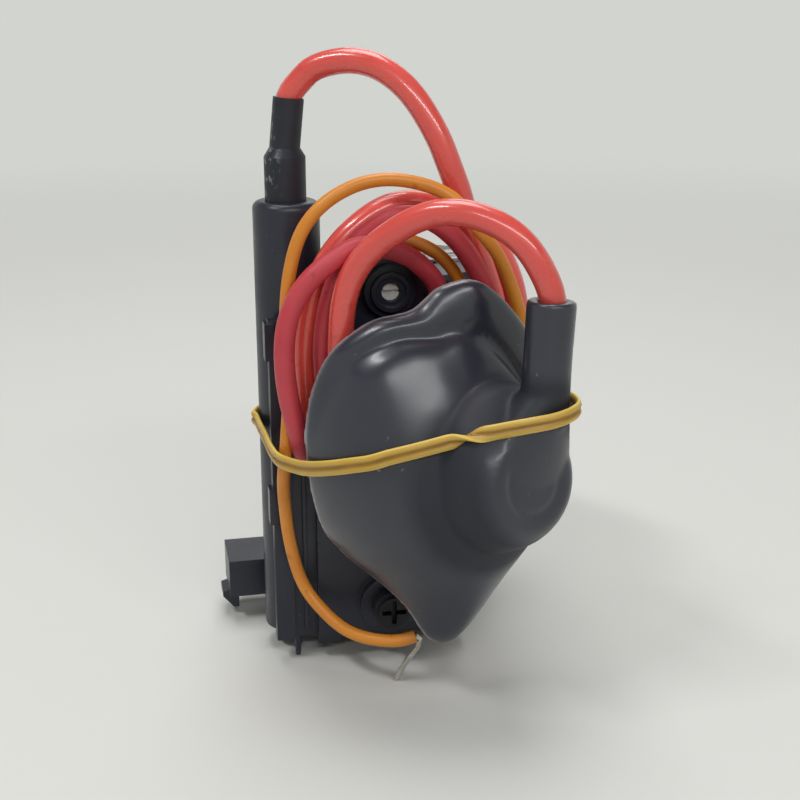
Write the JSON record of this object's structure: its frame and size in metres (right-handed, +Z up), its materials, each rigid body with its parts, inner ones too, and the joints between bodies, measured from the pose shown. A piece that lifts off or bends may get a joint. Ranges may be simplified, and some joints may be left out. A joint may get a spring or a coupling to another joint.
{
  "type": "flyback transformer",
  "caption": "Television flyback transformer with high voltage column, focus and screen controls, looped leads and a rubber anode cap held by a rubber band.",
  "frame": {"origin": "coil axis at the plane where the part seats on its circuit board, the centre of the circle of pins", "axes": "+Z up along the coil, -Y towards the control block's front, +X to the right seen from the front"},
  "size_m": [0.0669, 0.1067, 0.127],
  "materials": {
    "case_black": "satin",
    "rotor_grey": "satin",
    "knob_black": "satin",
    "contact_bronze": "satin",
    "ceramic_white": "matte",
    "resin_dark": "gloss",
    "bobbin_dark": "matte",
    "copper": "satin",
    "bobbin_cream": "matte",
    "tinned_metal": "satin",
    "ferrite": "matte",
    "spacer_tan": "matte",
    "clip_steel": "satin",
    "resistor_blue": "matte",
    "sleeve_black": "satin",
    "lead_red": "gloss",
    "lead_crimson": "satin",
    "lead_orange": "satin",
    "cap_rubber": "matte",
    "band_rubber": "satin"
  },
  "bodies": {
    "transformer": {"main_case": "case_black", "control_case": "case_black", "resistor_board": "ceramic_white", "control_resin": "resin_dark", "primary_bobbin": "bobbin_dark", "primary_winding": "copper", "hv_bobbin": "bobbin_cream", "hv_winding": "copper", "rectifier_diodes": "resin_dark", "potting_resin": "resin_dark", "terminal_pins": "tinned_metal", "upper_core": "ferrite", "lower_core": "ferrite", "gap_spacer": "spacer_tan", "core_clip": "clip_steel", "column_resistor": "resistor_blue", "lead_sleeve": "sleeve_black", "anode_lead_arch": "lead_red", "anode_lead_tail": "lead_red", "lead_bundle": "lead_crimson", "screen_lead_tail": "lead_orange", "screen_lead_tip": "tinned_metal", "anode_cap": "cap_rubber", "anode_clip": "clip_steel", "rubber_band": "band_rubber"},
    "focus_control": {"focus_knob": "rotor_grey", "focus_wiper": "contact_bronze"},
    "screen_control": {"screen_knob": "knob_black", "screen_wiper": "contact_bronze"}
  },
  "joints": [
    {"name": "focus_turn", "type": "hinge", "parent": "transformer", "child": "focus_control", "pos_m": [-0.01, -0.034, 0.0757], "axis": [0, -1, 0], "range_deg": [-135, 135]},
    {"name": "screen_turn", "type": "hinge", "parent": "transformer", "child": "screen_control", "pos_m": [-0.01, -0.036, 0.0075], "axis": [0, -1, 0], "range_deg": [-135, 135]}
  ]
}
